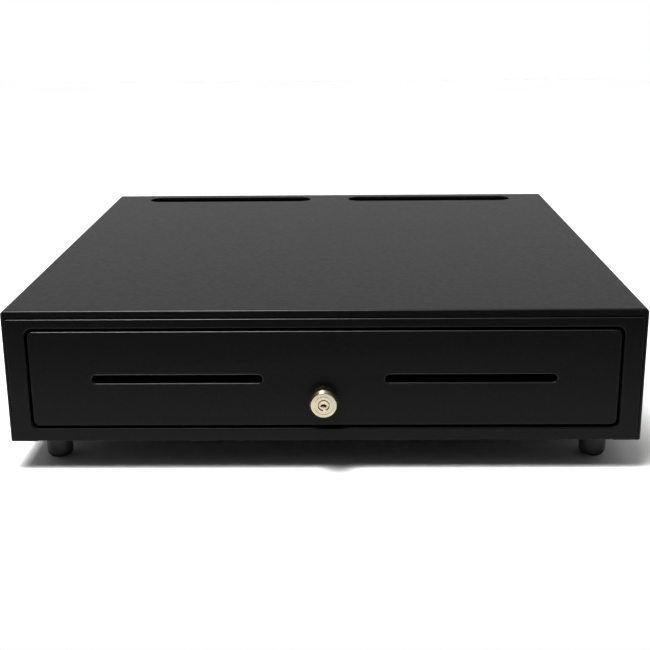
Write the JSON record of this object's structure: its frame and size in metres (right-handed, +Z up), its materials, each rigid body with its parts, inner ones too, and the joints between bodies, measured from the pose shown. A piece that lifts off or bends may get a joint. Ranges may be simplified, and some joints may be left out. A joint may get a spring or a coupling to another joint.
{
  "type": "cash drawer",
  "caption": "Low steel cash drawer with a ball-bearing drawer, key lock, paper slots, lift-out till with note clips and coin cups, solenoid latch and rubber feet",
  "frame": {"origin": "on the floor, under the middle of the whole object's box", "axes": "X to the right of a person who faces the drawer front, Y towards the back, Z up; the front faces -Y"},
  "size_m": [0.412, 0.425, 0.1087],
  "materials": {
    "black_powder_coat": "fine satin powder coat",
    "inner_steel": "satin powder coat",
    "zinc_steel": "zinc-plated steel",
    "screw_steel": "plated screw steel",
    "black_screws": "blackened screw steel",
    "nickel": "polished nickel plate",
    "feet_rubber": "moulded rubber",
    "till_plastic": "fine-textured moulded ABS",
    "clip_plastic": "satin moulded acetal",
    "bush_nylon": "moulded nylon",
    "coil_tape": "amber coil tape",
    "brass": "bright brass",
    "board_green": "solder-masked board",
    "socket_plastic": "moulded socket plastic",
    "wire_red": "wire insulation",
    "spring_steel": "drawn spring wire"
  },
  "bodies": {
    "case": {"case_cover": "black_powder_coat", "base_pan": "black_powder_coat", "rear_panel": "black_powder_coat", "front_bezel": "black_powder_coat", "rubber_feet": "feet_rubber", "foot_screws": "screw_steel", "case_screws": "black_screws", "rail_brackets": "zinc_steel", "rail_screws": "screw_steel", "outer_rail_left": "zinc_steel", "outer_rail_right": "zinc_steel", "drawer_bumpers": "feet_rubber", "lock_catch": "zinc_steel", "latch_plate": "zinc_steel", "latch_pivot_pin": "screw_steel", "latch_screws": "screw_steel", "latch_return_spring": "spring_steel", "solenoid_frame": "zinc_steel", "solenoid_coil": "coil_tape", "switch_body": "socket_plastic", "spring_posts": "zinc_steel", "eject_spring_left": "spring_steel", "eject_spring_right": "spring_steel", "circuit_board": "board_green", "drawer_socket": "socket_plastic", "socket_contacts": "brass", "wire_harness": "wire_red", "plunger_spring": "spring_steel"},
    "drawer": {"drawer_front": "black_powder_coat", "drawer_pan": "inner_steel", "inner_rail_left": "zinc_steel", "inner_rail_right": "zinc_steel", "drawer_screws": "screw_steel", "striker_bracket": "zinc_steel", "striker_pin": "screw_steel", "lock_barrel": "nickel", "lock_nut": "zinc_steel", "rod_bush": "bush_nylon", "till_tray": "till_plastic", "coin_tray": "till_plastic", "bill_dividers": "till_plastic", "clip_rod": "screw_steel", "clip_springs": "spring_steel"},
    "lock": {"lock_plug": "nickel", "lock_cam": "zinc_steel", "lock_rod": "screw_steel"},
    "ball_cages": {"ball_cages": "brass", "bearing_balls": "screw_steel"},
    "striker_roller": {"striker_roller": "screw_steel"},
    "latch_hook": {"latch_hook": "zinc_steel", "hook_pin": "screw_steel"},
    "plunger": {"plunger": "screw_steel", "plunger_pin": "brass"},
    "switch_lever": {"switch_lever": "screw_steel"},
    "bill_clip_1": {"bill_clip_1": "clip_plastic"},
    "bill_clip_2": {"bill_clip_2": "clip_plastic"},
    "bill_clip_3": {"bill_clip_3": "clip_plastic"},
    "bill_clip_4": {"bill_clip_4": "clip_plastic"},
    "bill_clip_5": {"bill_clip_5": "clip_plastic"}
  },
  "joints": [
    {"name": "drawer_slide", "type": "slide", "parent": "case", "child": "drawer", "axis": [0, -1, 0], "range_m": [0, 0.3], "deforming": ["eject_spring_left", "eject_spring_right"]},
    {"name": "cage_slide", "type": "slide", "parent": "case", "child": "ball_cages", "axis": [0, -1, 0], "range_m": [0, 0.15]},
    {"name": "lock_turn", "type": "hinge", "parent": "drawer", "child": "lock", "pos_m": [0, 0, 0.0485], "axis": [0, 1, 0], "range_deg": [-90, 90]},
    {"name": "roller_spin", "type": "hinge", "parent": "drawer", "child": "striker_roller", "pos_m": [-0.03, 0.1835, 0.0475], "axis": [0, 0, 1], "continuous": true},
    {"name": "hook_turn", "type": "hinge", "parent": "case", "child": "latch_hook", "pos_m": [-0.042, 0.2025, 0.0475], "axis": [0, 0, 1], "range_deg": [0, 22], "deforming": ["latch_return_spring"]},
    {"name": "plunger_slide", "type": "slide", "parent": "case", "child": "plunger", "axis": [1, 0, 0], "range_m": [0, 0.0047], "deforming": ["plunger_spring"]},
    {"name": "switch_lever_turn", "type": "hinge", "parent": "case", "child": "switch_lever", "pos_m": [-0.0515, 0.1735, 0.04], "axis": [0, 0, 1], "range_deg": [-7.5, 0]},
    {"name": "bill_clip_1_lift", "type": "hinge", "parent": "drawer", "child": "bill_clip_1", "pos_m": [0, 0.148, 0.086], "axis": [-1, 0, 0], "range_deg": [0, 30], "stiffness_Nm_per_rad": 0.02, "springref_deg": -17.19},
    {"name": "bill_clip_2_lift", "type": "hinge", "parent": "drawer", "child": "bill_clip_2", "pos_m": [0, 0.148, 0.086], "axis": [-1, 0, 0], "range_deg": [0, 30], "stiffness_Nm_per_rad": 0.02, "springref_deg": -17.19},
    {"name": "bill_clip_3_lift", "type": "hinge", "parent": "drawer", "child": "bill_clip_3", "pos_m": [0, 0.148, 0.086], "axis": [-1, 0, 0], "range_deg": [0, 30], "stiffness_Nm_per_rad": 0.02, "springref_deg": -17.19},
    {"name": "bill_clip_4_lift", "type": "hinge", "parent": "drawer", "child": "bill_clip_4", "pos_m": [0, 0.148, 0.086], "axis": [-1, 0, 0], "range_deg": [0, 30], "stiffness_Nm_per_rad": 0.02, "springref_deg": -17.19},
    {"name": "bill_clip_5_lift", "type": "hinge", "parent": "drawer", "child": "bill_clip_5", "pos_m": [0, 0.148, 0.086], "axis": [-1, 0, 0], "range_deg": [0, 30], "stiffness_Nm_per_rad": 0.02, "springref_deg": -17.19}
  ],
  "couplings": [
    {"joint": "cage_slide", "follows": "drawer_slide", "ratio": 0.5},
    {"joint": "plunger_slide", "follows": "hook_turn", "m_per_rad": 0.01215},
    {"joint": "switch_lever_turn", "follows": "hook_turn", "ratio": -0.336}
  ]
}
